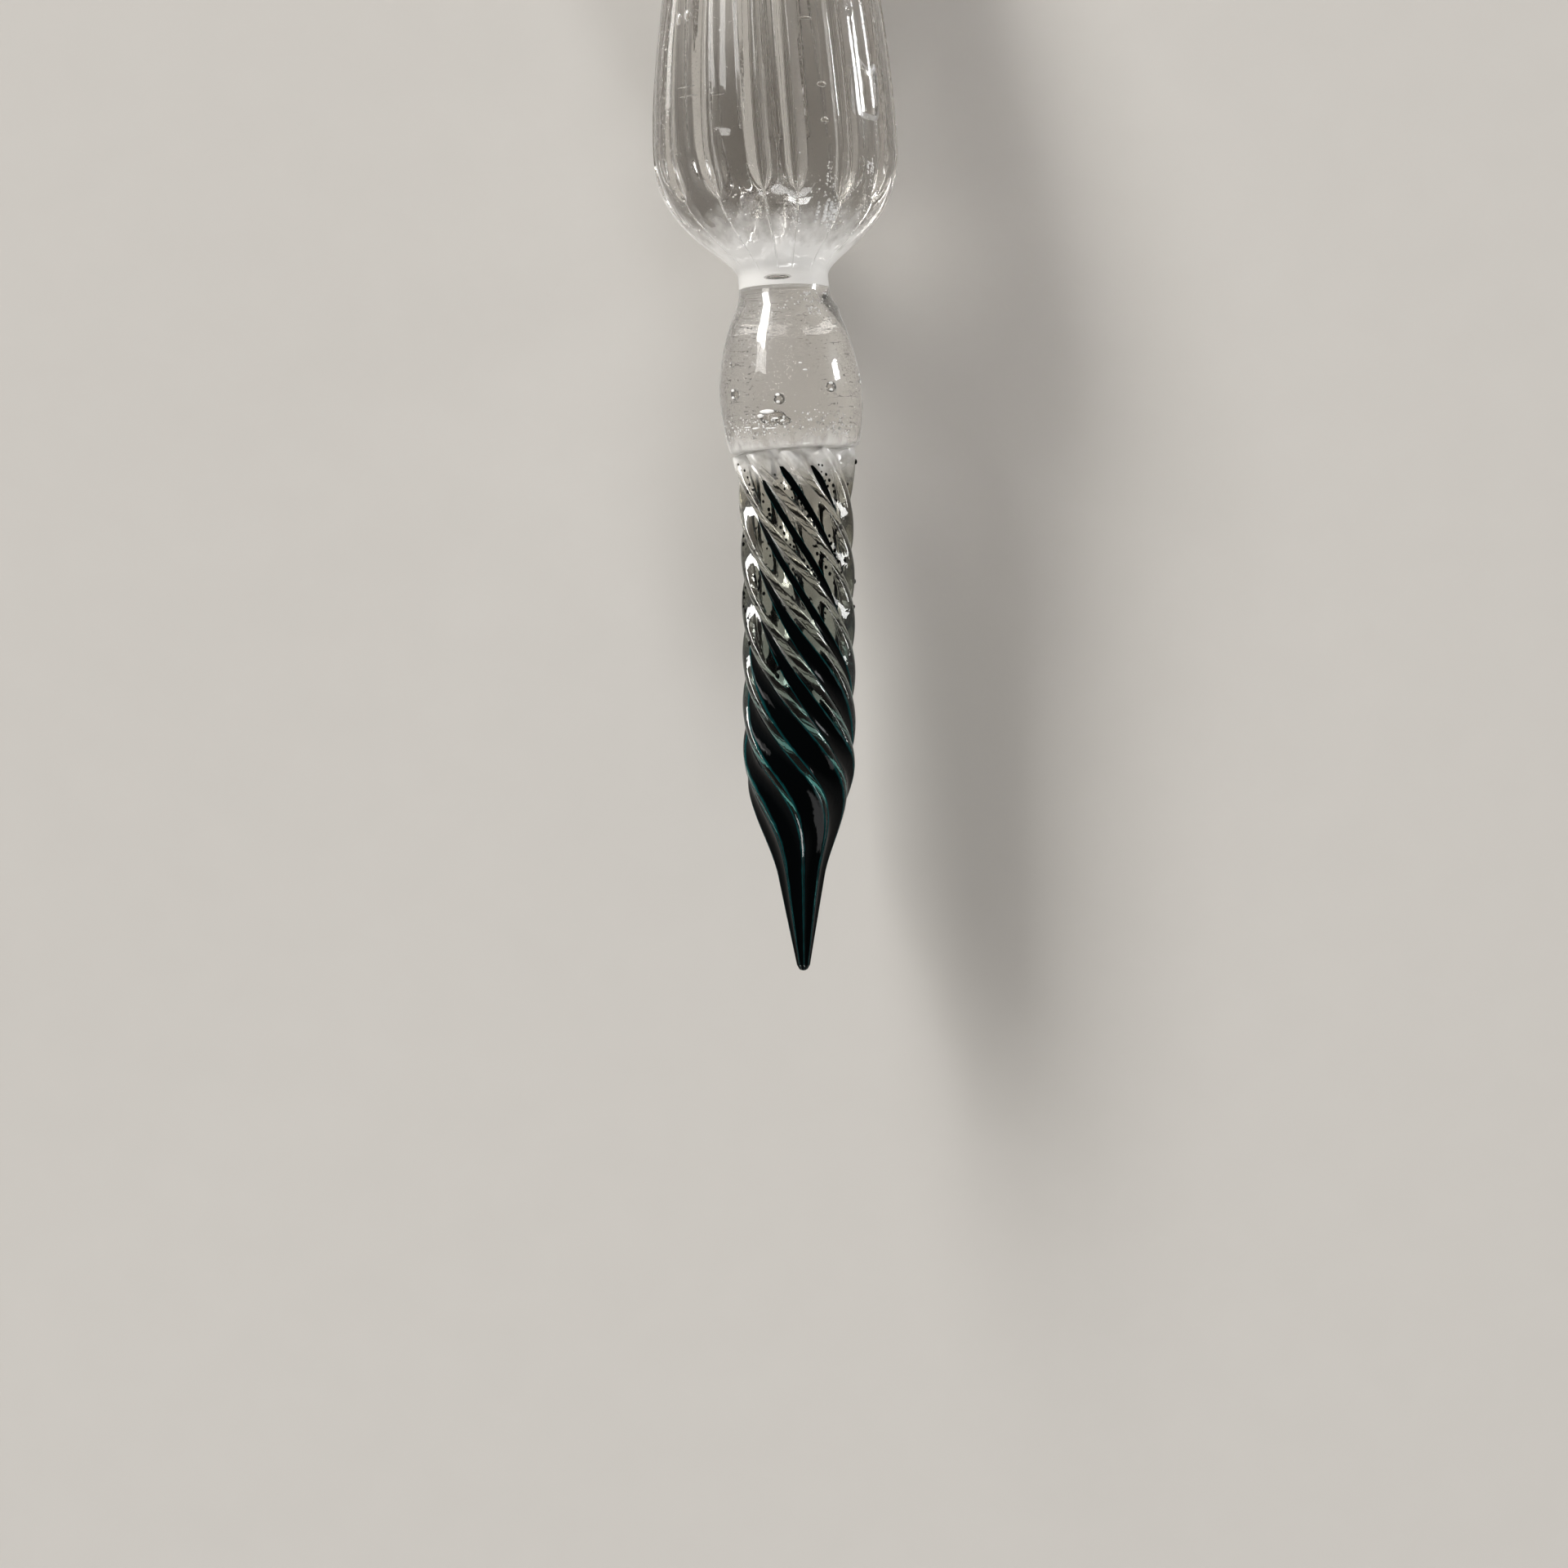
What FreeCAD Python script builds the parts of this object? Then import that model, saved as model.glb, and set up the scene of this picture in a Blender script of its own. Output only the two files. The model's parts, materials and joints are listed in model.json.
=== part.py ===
import FreeCAD, Part
import math
import os

from FreeCAD import Placement, Rotation, Vector

# Lampworked glass dip pen, in millimetres: five lengths of glass fused end to end.
# Each piece is made upright, with the pen's axis on Z and the writing tip at height 0.
# Then the whole pen is laid down as it rests on a table, nib towards -Y and tail towards +Y.
# Turns are in degrees from +X. The side that faces up when the pen lies down is at -90.

UP_SIDE = -90.0

# Nib: a cane with deep grooves, twisted, drawn to a point and flared where it joins the knop
nib_length = 33.9
nib_radius = 3.72
nib_root_radius = 4.2
nib_flare_length = 3.9
nib_tip_radius = 0.36
nib_point_slope = 0.19
nib_point_end = 6.2
nib_body_start = 15.1
nib_groove_count = 9
nib_groove_depth = 1.05
nib_ridge_width = 0.55
nib_ridge_crown = 0.06
nib_lead = 28.9
nib_twist_start = 7.5
nib_twist_full = 12.8
nib_ridge_turn = 4.0

# Knop: the barrel-shaped bead between the nib and the grip
knop_length = 10.5
knop_radius = 4.68
knop_foot_radius = 4.15
knop_belly_height = 3.6
knop_shoulder_power = 1.7
neck_radius = 2.93

# Grip: a fluted bell that rises from a straight collar at the neck and tapers to the stem
grip_radius = 8.03
grip_bell_height = 8.8
grip_bell_power = 2.0
neck_collar = 0.75
grip_taper_length = 42.0
grip_taper_power = 0.9
flute_count = 15
flute_depth = 0.75
flute_width = 1.45
land_crown = 0.2
flute_foot = 5.4
flute_foot_length = 3.0
flute_fade_start = 26.0
flute_fade_length = 22.0
flute_lead = 1030.0
flute_turn = 12.0

# Stem: the plain rod behind the grip, which a pen rest or a cap closes on
stem_radius = 3.0
stem_length = 63.0

# Tail: a narrow waist and a ball, no wider than the stem, so that a sleeve slides over both
tail_waist_radius = 2.2
tail_waist_height = 2.6
tail_ball_radius = 2.95

# How finely the lofts and the turned outlines follow their formulas
twist_per_section = 9.0
section_spacing = 1.4
outline_spacing = 0.6
resting_accuracy = 0.01

# Heights of the fused seams above the tip
nib_top = nib_length
knop_top = nib_top + knop_length
grip_belly = knop_top + grip_bell_height
grip_top = grip_belly + grip_taper_length
stem_top = grip_top + stem_length


def ease(x):
    """0 below 0, 1 above 1, and a smooth step between."""
    x = min(max(x, 0.0), 1.0)
    return x * x * (3 - 2 * x)


def shoulder(x, power):
    """How far a bead has closed towards its neck, from 0 at its belly to 1, where it meets the neck."""
    return x**power + 2 * x**7 * (1 - x)


def nib_outer_radius(z):
    point = nib_tip_radius + nib_point_slope * z
    blend = ease((z - nib_point_end) / (nib_body_start - nib_point_end))
    flare = max(0.0, (z - nib_length + nib_flare_length) / nib_flare_length)
    return point + (nib_radius - point) * blend + (nib_root_radius - nib_radius) * flare**2


def nib_turn(z):
    """Where a ridge is at height z. The twist is left-handed, and the ridges run straight at the point."""
    rate = -360.0 / nib_lead
    ramp = nib_twist_full - nib_twist_start
    into_ramp = min(max(z - nib_twist_start, 0.0), ramp)
    return UP_SIDE + nib_ridge_turn + rate * (into_ramp**2 / (2 * ramp) + max(z - nib_twist_full, 0.0))


def knop_outer_radius(z):
    up = z - nib_top
    if up < knop_belly_height:
        return knop_radius - (knop_radius - knop_foot_radius) * (1 - up / knop_belly_height) ** 2
    closed = shoulder((up - knop_belly_height) / (knop_length - knop_belly_height), knop_shoulder_power)
    return knop_radius - (knop_radius - neck_radius) * closed


def grip_outer_radius(z):
    if z < grip_belly:
        along = min((grip_belly - z) / (grip_bell_height - neck_collar), 1.0)
        closed = shoulder(along, grip_bell_power)
        return grip_radius - (grip_radius - neck_radius) * closed
    along = min((z - grip_belly) / grip_taper_length, 1.0)
    return stem_radius + (grip_radius - stem_radius) * math.cos(math.pi / 2 * along**grip_taper_power) ** 2


def flute_strength(z):
    """0 where the grip is round, 1 where its flutes are at full depth."""
    foot = ease((z - knop_top - flute_foot) / flute_foot_length)
    fade = ease((z - knop_top - flute_fade_start) / flute_fade_length)
    return foot * (1 - fade)


def flute_place(z):
    """Where a flute's middle is at height z."""
    return UP_SIDE + flute_turn - 360.0 * (z - grip_belly) / flute_lead


def tail_outer_radius(z):
    """The tail's waist, up to where its ball takes over."""
    up = (z - stem_top) / tail_waist_height
    return stem_radius - (stem_radius - tail_waist_radius) * ease(up)


def polar(radius, turn, z):
    angle = math.radians(turn)
    return Vector(radius * math.cos(angle), radius * math.sin(angle), z)


def ridged_ring(z, turn, count, crown_radius, edge_radius, floor_radius, crown_half_turn):
    """A closed outline at height z: count crowns, each one an arc, with an arc-shaped hollow after each."""
    pitch = 360.0 / count
    edges = []
    for i in range(count):
        crown = turn + i * pitch
        left = polar(edge_radius, crown - crown_half_turn, z)
        right = polar(edge_radius, crown + crown_half_turn, z)
        next_left = polar(edge_radius, crown + pitch - crown_half_turn, z)
        edges.append(Part.Arc(left, polar(crown_radius, crown, z), right).toShape())
        edges.append(Part.Arc(right, polar(floor_radius, crown + pitch / 2, z), next_left).toShape())
    return Part.Wire(edges)


def nib_ring(z):
    radius = nib_outer_radius(z)
    scale = radius / nib_radius
    return ridged_ring(
        z,
        nib_turn(z),
        nib_groove_count,
        radius,
        radius - nib_ridge_crown * scale,
        radius - nib_groove_depth * scale,
        math.degrees(nib_ridge_width / 2 / nib_radius),
    )


def grip_ring(z):
    """The lands are the crowns of this outline and the flutes its hollows. Both flatten to a circle."""
    radius = grip_outer_radius(z)
    strength = flute_strength(z)
    pitch = 360.0 / flute_count
    flute_half_turn = math.degrees(flute_width / 2 / grip_radius)
    return ridged_ring(
        z,
        flute_place(z) + pitch / 2,
        flute_count,
        radius,
        radius - land_crown * strength,
        radius - flute_depth * strength,
        pitch / 2 - flute_half_turn,
    )


def stations(low, high, spacing):
    """Heights from low to high, evenly spaced and no further apart than spacing."""
    steps = max(2, math.ceil((high - low) / spacing))
    return [low + (high - low) * i / steps for i in range(steps + 1)]


def turned(radius_at, low, high, top_arc=None):
    """A solid of revolution whose side follows radius_at, from height low to height high."""
    points = [Vector(radius_at(z), 0, z) for z in stations(low, high, outline_spacing)]
    side = Part.BSplineCurve()
    side.interpolate(points)
    edges = [Part.LineSegment(Vector(0, 0, low), points[0]).toShape(), side.toShape()]
    if top_arc is None:
        top = Vector(0, 0, high)
        edges.append(Part.LineSegment(points[-1], top).toShape())
    else:
        top = top_arc[1]
        edges.append(Part.Arc(points[-1], top_arc[0], top).toShape())
    edges.append(Part.LineSegment(top, Vector(0, 0, low)).toShape())
    return Part.Face(Part.Wire(edges)).revolve(Vector(0, 0, 0), Vector(0, 0, 1), 360)


def make_nib():
    spacing = min(section_spacing, nib_lead * twist_per_section / 360)
    cane = Part.makeLoft([nib_ring(z) for z in stations(0, nib_length, spacing)], True, False)
    # The tip is ground round, by a bowl that touches nothing else of the nib
    wide = 2 * nib_root_radius
    bowl_edge = Vector(nib_tip_radius, 0, nib_tip_radius)
    bowl_arc = Vector(nib_tip_radius * math.sin(math.pi / 4), 0, nib_tip_radius * (1 - math.cos(math.pi / 4)))
    edges = [
        Part.Arc(Vector(0, 0, 0), bowl_arc, bowl_edge).toShape(),
        Part.LineSegment(bowl_edge, Vector(wide, 0, wide)).toShape(),
        Part.LineSegment(Vector(wide, 0, wide), Vector(wide, 0, nib_length)).toShape(),
        Part.LineSegment(Vector(wide, 0, nib_length), Vector(0, 0, nib_length)).toShape(),
        Part.LineSegment(Vector(0, 0, nib_length), Vector(0, 0, 0)).toShape(),
    ]
    bowl = Part.Face(Part.Wire(edges)).revolve(Vector(0, 0, 0), Vector(0, 0, 1), 360)
    return cane.common(bowl)


def make_knop():
    return turned(knop_outer_radius, nib_top, knop_top)


def make_grip():
    return Part.makeLoft([grip_ring(z) for z in stations(knop_top, grip_top, section_spacing)], True, False)


def make_stem():
    return Part.makeCylinder(stem_radius, stem_length, Vector(0, 0, grip_top))


def make_tail_bead():
    waist_top = stem_top + tail_waist_height
    ball_centre = waist_top + math.sqrt(tail_ball_radius**2 - tail_waist_radius**2)
    side = Vector(tail_ball_radius, 0, ball_centre)
    top = Vector(0, 0, ball_centre + tail_ball_radius)
    return turned(tail_outer_radius, stem_top, waist_top, (side, top))


def laid(shape, tilt):
    """The piece turned from upright to lying, its tail tilt degrees lower than level."""
    turned_down = shape.copy()
    turned_down.Placement = Placement(Vector(0, 0, 0), Rotation(Vector(1, 0, 0), -90 - tilt))
    return turned_down


def lowest(points, tilt):
    """How low the lowest of the upright points comes when they are laid down at this tilt."""
    angle = math.radians(tilt)
    return min(-point.y * math.cos(angle) - point.z * math.sin(angle) for point in points)


def resting_tilt(front, back):
    """The tilt at which front and back are equally low, so that the pen lies on both."""
    front_points = front.tessellate(resting_accuracy)[0]
    back_points = back.tessellate(resting_accuracy)[0]
    level, steep = 0.0, 45.0
    while steep - level > resting_accuracy / 100:
        middle = (level + steep) / 2
        if lowest(back_points, middle) > lowest(front_points, middle):
            level = middle
        else:
            steep = middle
    return (level + steep) / 2


pieces = {
    "nib": make_nib(),
    "knop": make_knop(),
    "grip": make_grip(),
    "stem": make_stem(),
    "tail_bead": make_tail_bead(),
}
tilt = resting_tilt(pieces["grip"], pieces["tail_bead"])
pieces = {name: laid(shape, tilt) for name, shape in pieces.items()}

# The origin is on the table, under the middle of the pen's box
box = Part.makeCompound(list(pieces.values())).optimalBoundingBox(False)
shift = Vector(-(box.XMin + box.XMax) / 2, -(box.YMin + box.YMax) / 2, -box.ZMin)

os.makedirs("parts", exist_ok=True)
for name, shape in pieces.items():
    placed = shape.copy()
    placed.Placement = Placement(shift, Rotation()).multiply(shape.Placement)
    placed.exportStep(f"parts/{name}.step")
    print(name, "valid", placed.isValid(), "solids", len(placed.Solids), "volume", round(placed.Volume, 2))

# Where the stem's mount lies: the middle of the stem and its direction towards the tail
stem_middle = laid(Part.Vertex(0, 0, grip_top + stem_length / 2), tilt).Point + shift
print("tilt", tilt, "shift", shift, "box", box)
print("stem middle", stem_middle, "axis", Rotation(Vector(1, 0, 0), -90 - tilt).multVec(Vector(0, 0, 1)))
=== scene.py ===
import json
import math
import random

import bpy
import numpy as np
from mathutils import Matrix, Vector


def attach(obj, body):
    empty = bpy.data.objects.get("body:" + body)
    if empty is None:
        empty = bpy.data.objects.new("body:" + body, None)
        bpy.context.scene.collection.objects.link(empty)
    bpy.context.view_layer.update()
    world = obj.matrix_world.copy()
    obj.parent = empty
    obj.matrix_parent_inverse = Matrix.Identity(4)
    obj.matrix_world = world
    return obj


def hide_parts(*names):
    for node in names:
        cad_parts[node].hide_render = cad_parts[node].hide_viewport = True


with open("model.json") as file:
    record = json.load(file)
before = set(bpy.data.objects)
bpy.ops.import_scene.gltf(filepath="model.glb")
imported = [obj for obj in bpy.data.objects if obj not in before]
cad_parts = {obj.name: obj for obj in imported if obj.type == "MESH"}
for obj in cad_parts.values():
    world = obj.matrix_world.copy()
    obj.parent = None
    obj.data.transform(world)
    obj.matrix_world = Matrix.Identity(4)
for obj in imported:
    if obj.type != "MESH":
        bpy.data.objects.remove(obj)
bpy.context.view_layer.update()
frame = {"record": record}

MM = 0.001
chance = random.Random(583)

# Sizes of the solids, in millimetres and degrees, the same as in the part's source
NIB_LENGTH = 33.9
NIB_RADIUS = 3.72
NIB_ROOT_RADIUS = 4.2
NIB_FLARE_LENGTH = 3.9
NIB_TIP_RADIUS = 0.36
NIB_POINT_SLOPE = 0.19
NIB_POINT_END = 6.2
NIB_BODY_START = 15.1
GROOVES = 9
GROOVE_DEPTH = 1.05
RIDGE_WIDTH = 0.55
RIDGE_CROWN = 0.06
NIB_LEAD = 28.9
TWIST_START = 7.5
TWIST_FULL = 12.8
RIDGE_TURN = 4.0
KNOP_LENGTH = 10.5
KNOP_RADIUS = 4.68
KNOP_FOOT_RADIUS = 4.15
KNOP_BELLY_HEIGHT = 3.6
KNOP_POWER = 1.7
NECK_RADIUS = 2.93
GRIP_RADIUS = 8.03
BELL_HEIGHT = 8.8
BELL_POWER = 2.0
NECK_COLLAR = 0.75
TAPER_LENGTH = 42.0
TAPER_POWER = 0.9
FLUTES = 15
FLUTE_DEPTH = 0.75
FLUTE_WIDTH = 1.45
LAND_CROWN = 0.2
FLUTE_FOOT = 5.4
FADE_START = 26.0
FADE_LENGTH = 22.0
FLUTE_LEAD = 1030.0
FLUTE_TURN = 12.0
STEM_RADIUS = 3.0
STEM_LENGTH = 63.0
WAIST_RADIUS = 2.2
WAIST_HEIGHT = 2.6
BALL_RADIUS = 2.95

NIB_TOP = NIB_LENGTH
KNOP_TOP = NIB_TOP + KNOP_LENGTH
GRIP_BELLY = KNOP_TOP + BELL_HEIGHT
GRIP_TOP = GRIP_BELLY + TAPER_LENGTH
STEM_TOP = GRIP_TOP + STEM_LENGTH

# How far each piece runs on past its fused seams into the next one, and how far ink wets into glass
FUSED = 0.01

# The pen's own frame: height along its axis from the tip, and turns from +X with -90 facing up
UP_SIDE = -90.0
stem_mount = next(m for m in frame["record"]["mounts"] if m["name"] == "stem")
ALONG = Vector(stem_mount["axis"]).normalized()
SIDE = Vector((1, 0, 0))
UNDER = ALONG.cross(SIDE)
TIP = Vector(stem_mount["pos_m"]) - ALONG * (GRIP_TOP + STEM_LENGTH / 2) * MM
PEN_AXES = np.array([SIDE, UNDER, ALONG])


# The bow of the hand-made pen: how far, at what height, and its reach towards the tip and towards the tail
NIB_BOW = 0.55
NIB_BOW_HEIGHT = 31
NIB_BOW_REACH = (18, 15)
GRIP_BOW = -0.13
GRIP_BOW_HEIGHT = 54
GRIP_BOW_REACH = 8


def bow(z):
    """How far the pen bows sideways at height z: most where the nib nears the knop."""
    width = np.where(z < NIB_BOW_HEIGHT, *NIB_BOW_REACH)
    nib = NIB_BOW * np.exp(-(((z - NIB_BOW_HEIGHT) / width) ** 2))
    return nib + GRIP_BOW * np.exp(-(((z - GRIP_BOW_HEIGHT) / GRIP_BOW_REACH) ** 2))


def to_row(points):
    """Points in the pen's frame, in millimetres, as points in the row frame, in metres."""
    points = np.array(points, float)
    points[..., 0] += bow(points[..., 2])
    return np.array(TIP) + points @ PEN_AXES * MM


def ease(x):
    x = np.clip(x, 0.0, 1.0)
    return x * x * (3 - 2 * x)


def polar(radius, turn, height):
    angle = np.radians(turn)
    return np.stack(np.broadcast_arrays(radius * np.cos(angle), radius * np.sin(angle), height), axis=-1)


def directions(turn):
    """Away from the axis, round it and along it, at this turn."""
    angle = math.radians(turn)
    out = np.array([math.cos(angle), math.sin(angle), 0])
    around = np.array([-math.sin(angle), math.cos(angle), 0])
    return out, around, np.array([0, 0, 1.0])


def shoulder(x, power):
    return x**power + 2 * x**7 * (1 - x)


# The unevenness of each piece: where its waves start, and how deep they are
NIB_WAVES = (1.7, 0.04)
KNOP_WAVES = (0.4, 0.07)
GRIP_WAVES = (2.9, 0.06)
STEM_WAVES = (5.0, 0.02)


def wander(turn, height, seed, amount):
    """A gentle unevenness of hand-drawn glass, from 0 to -amount."""
    angle = np.radians(turn)
    total = (
        np.sin(2 * angle + 0.31 * height + seed)
        + np.sin(3 * angle - 0.47 * height + 2.1 * seed)
        + np.sin(angle + 0.83 * height + 0.7 * seed)
    )
    return -amount * (0.5 + total / 6)


# Outlines of the pieces, the same formulas as the solids


def nib_outer_radius(z):
    point = NIB_TIP_RADIUS + NIB_POINT_SLOPE * z
    blend = ease((z - NIB_POINT_END) / (NIB_BODY_START - NIB_POINT_END))
    flare = np.maximum(0.0, (z - NIB_LENGTH + NIB_FLARE_LENGTH) / NIB_FLARE_LENGTH)
    return point + (NIB_RADIUS - point) * blend + (NIB_ROOT_RADIUS - NIB_RADIUS) * flare**2


def nib_turn(z):
    rate = -360.0 / NIB_LEAD
    ramp = TWIST_FULL - TWIST_START
    into_ramp = np.clip(z - TWIST_START, 0.0, ramp)
    return UP_SIDE + RIDGE_TURN + rate * (into_ramp**2 / (2 * ramp) + np.maximum(z - TWIST_FULL, 0.0))


def knop_outer_radius(z):
    up = z - NIB_TOP
    foot = KNOP_RADIUS - (KNOP_RADIUS - KNOP_FOOT_RADIUS) * (1 - up / KNOP_BELLY_HEIGHT) ** 2
    along = np.clip((up - KNOP_BELLY_HEIGHT) / (KNOP_LENGTH - KNOP_BELLY_HEIGHT), 0, 1)
    top = KNOP_RADIUS - (KNOP_RADIUS - NECK_RADIUS) * shoulder(along, KNOP_POWER)
    return np.where(up < KNOP_BELLY_HEIGHT, foot, top)


def grip_outer_radius(z):
    closed = shoulder(np.clip((GRIP_BELLY - z) / (BELL_HEIGHT - NECK_COLLAR), 0, 1), BELL_POWER)
    bell = GRIP_RADIUS - (GRIP_RADIUS - NECK_RADIUS) * closed
    along = np.clip((z - GRIP_BELLY) / TAPER_LENGTH, 0, 1)
    taper = STEM_RADIUS + (GRIP_RADIUS - STEM_RADIUS) * np.cos(np.pi / 2 * along**TAPER_POWER) ** 2
    return np.where(z < GRIP_BELLY, bell, taper)


# The nib's section: how far round from a ridge a point is, and how far up the wall of a groove

RIDGE_HALF = math.degrees(RIDGE_WIDTH / 2 / NIB_RADIUS)
NIB_PITCH = 360.0 / GROOVES
GROOVE_HALF = NIB_PITCH / 2 - RIDGE_HALF


def from_ridge(turn, z):
    return (turn - nib_turn(z) + NIB_PITCH / 2) % NIB_PITCH - NIB_PITCH / 2


def nib_surface(turn, z):
    """The nib's radius, with its ridges and grooves. The ridges' edges are fire-polished."""
    radius = nib_outer_radius(z)
    scale = radius / NIB_RADIUS
    away = np.abs(from_ridge(turn, z))
    crown = RIDGE_CROWN * scale * np.minimum(away / RIDGE_HALF, 1) ** 2
    into_wall = np.clip((away - RIDGE_HALF) / GROOVE_HALF, 0, 1)
    softened = 1.08 * into_wall / (into_wall + 0.08)
    wall = (GROOVE_DEPTH - RIDGE_CROWN) * scale * (1 - (1 - into_wall) ** 2) * softened
    ball = np.sqrt(np.maximum(NIB_TIP_RADIUS**2 - np.maximum(NIB_TIP_RADIUS - z, 0) ** 2, 0))
    return np.where(z < NIB_TIP_RADIUS, np.minimum(radius - crown - wall, ball), radius - crown - wall)


# The part of the nib's end that is fused to the knop
SEAM_RADIUS = 2.9


# Building meshes from rings of points

# A face's finish: the piece's own glass is 0
FUSED_FINISH = 1
# White specks and beads: seeds, froth, and painted highlights
SEED_AND_GLINT_FINISH = 2

# Bubbles larger than this get more faces
FINE_BUBBLE = 0.12


class Shape:
    """Points in the pen's frame and their faces, gathered before they become one mesh."""

    def __init__(self):
        self.points = []
        self.faces = []
        self.finishes = []
        self.count = 0

    def add(self, points, faces, finishes):
        self.points.append(np.asarray(points, float).reshape(-1, 3))
        self.faces += [tuple(self.count + i for i in face) for face in faces]
        self.finishes += list(finishes)
        self.count += len(self.points[-1])

    def add_rings(self, rings, flip=False, fused_low=0, fused_high=0, finish=0):
        """A closed skin over rings of equally many points, with a point at the middle of both ends.

        fused_low and fused_high are how many rows at either end are the face fused to the next piece.
        """
        rings = np.asarray(rings, float)
        rows, columns = rings.shape[:2]
        faces = []
        row = np.repeat(np.arange(rows - 1), columns)
        ends = np.tile([fused_low > 0, fused_high > 0], columns)
        fused = np.concatenate([(row < fused_low) | (row >= rows - 1 - fused_high), ends])
        for i in range(rows - 1):
            low, high = i * columns, (i + 1) * columns
            for j in range(columns):
                k = (j + 1) % columns
                faces.append((low + j, low + k, high + k, high + j))
        first, last = rows * columns, rows * columns + 1
        top = (rows - 1) * columns
        for j in range(columns):
            k = (j + 1) % columns
            faces.append((first, k, j))
            faces.append((last, top + j, top + k))
        if flip:
            faces = [face[::-1] for face in faces]
        ends = np.array([rings[0].mean(axis=0), rings[-1].mean(axis=0)])
        self.add(np.concatenate([rings.reshape(-1, 3), ends]), faces, np.where(fused, FUSED_FINISH, finish))

    def add_tube(self, rings, finish=0):
        """A closed loop of rings, with no ends."""
        rings = np.asarray(rings, float)
        rows, columns = rings.shape[:2]
        faces = []
        for i in range(rows):
            low, high = i * columns, (i + 1) % rows * columns
            for j in range(columns):
                k = (j + 1) % columns
                faces.append((low + j, low + k, high + k, high + j))
        self.add(rings.reshape(-1, 3), faces, [finish] * len(faces))

    def add_bubble(self, centre, size, finish=0, void=True):
        """An ellipsoid, as a void in the glass, whose faces look inwards, or as a bead on it.

        centre is its radius round the axis, its turn and its height.
        size is its half-axes round, out and along.
        """
        radius, turn, height = centre
        fine = max(size) > FINE_BUBBLE
        latitudes = np.radians(np.linspace(-80, 80, 9) if fine else np.linspace(-70, 70, 5))
        longitudes = np.radians(np.arange(0, 360, 24 if fine else 45))
        ball = np.array(
            [
                [(math.cos(a) * math.cos(b), math.cos(a) * math.sin(b), math.sin(a)) for b in longitudes]
                for a in latitudes
            ]
        )
        out, around, up = directions(turn)
        middle = out * radius + up * height
        rings = middle + ball @ np.array([out * size[1], around * size[0], up * size[2]])
        self.add_rings(rings, flip=void, finish=finish)

    def make(self, name, material, piece_slot, *nodes):
        mesh = bpy.data.meshes.new(name)
        points = np.concatenate(self.points)
        mesh.from_pydata(to_row(points).tolist(), [], self.faces)
        pen = mesh.attributes.new("pen", "FLOAT_VECTOR", "POINT")
        pen.data.foreach_set("vector", points.astype(np.float32).ravel())
        mesh.polygons.foreach_set("material_index", np.array(self.finishes, np.int32))
        mesh.update()
        mesh.shade_smooth()
        mesh.set_sharp_from_angle(angle=math.radians(50))
        piece = bpy.data.objects.new(name, mesh)
        bpy.context.scene.collection.objects.link(piece)
        for finish in (material, fused_glass, white_seed_and_glint)[: max(self.finishes) + 1]:
            mesh.materials.append(finish)
        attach(piece, "root")
        if nodes:
            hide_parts(*nodes)
        return piece


# How many rows of faces an end's disc has, apart from its middle
CAP_ROWS = 5


def capped(side_rings, low=True, high=True):
    """The side's rings with a disc of rings at either end."""
    shares = np.arange(1, CAP_ROWS + 1) / (CAP_ROWS + 1)
    rings = list(side_rings)
    if low:
        first, middle = side_rings[0], side_rings[0].mean(axis=0)
        rings = [middle + (first - middle) * s for s in shares] + rings
    if high:
        last, middle = side_rings[-1], side_rings[-1].mean(axis=0)
        rings += [middle + (last - middle) * s for s in shares[::-1]]
    return np.array(rings)


# Materials


class Nodes:
    """A material's node tree, with short calls to fill it."""

    def __init__(self, name):
        self.material = bpy.data.materials.new(name)
        self.material.use_nodes = True
        self.tree = self.material.node_tree
        self.tree.nodes.clear()

    def add(self, kind, inputs=None, **settings):
        made = self.tree.nodes.new(kind)
        for key, value in settings.items():
            setattr(made, key, value)
        for key, value in (inputs or {}).items():
            if isinstance(value, bpy.types.NodeSocket):
                self.tree.links.new(value, made.inputs[key])
            else:
                made.inputs[key].default_value = value
        return made

    def pen(self, stretch):
        """The pen's own coordinates in millimetres, each one scaled."""
        source = self.add("ShaderNodeAttribute", attribute_name="pen").outputs["Vector"]
        return self.add("ShaderNodeVectorMath", {0: source, 1: stretch}, operation="MULTIPLY").outputs[0]

    def noise(self, vector, scale, detail=2.0):
        made = self.add("ShaderNodeTexNoise", {"Vector": vector, "Scale": scale, "Detail": detail})
        return made.outputs["Fac"]

    def steps(self, value, low, high, to_low=0.0, to_high=1.0):
        made = self.add(
            "ShaderNodeMapRange",
            {"Value": value, "From Min": low, "From Max": high, "To Min": to_low, "To Max": to_high},
        )
        return made.outputs["Result"]

    def mix(self, factor, low, high):
        made = self.add("ShaderNodeMix", {"Factor": factor, 6: low, 7: high}, data_type="RGBA")
        return made.outputs[2]

    def maths(self, operation, a, b):
        return self.add("ShaderNodeMath", {0: a, 1: b}, operation=operation).outputs[0]

    def finish(self, shader):
        self.add("ShaderNodeOutputMaterial", {"Surface": shader.outputs[0]})
        return self.material


# Colours of glass, whose warm grey tint is painted shade for the dark surroundings it shows, of the white
# painted highlight where the glass glows at its seams, and of ink
SHADED_CLEAR = (0.86, 0.84, 0.81, 1)
GLOW_WHITE = (0.97, 0.97, 0.96, 1)
NIB_GLOW_WHITE = (0.93, 0.93, 0.92, 1)
THICK_INK = (0.0006, 0.0011, 0.0014, 1)
THIN_INK = (0.005, 0.07, 0.075, 1)

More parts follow.
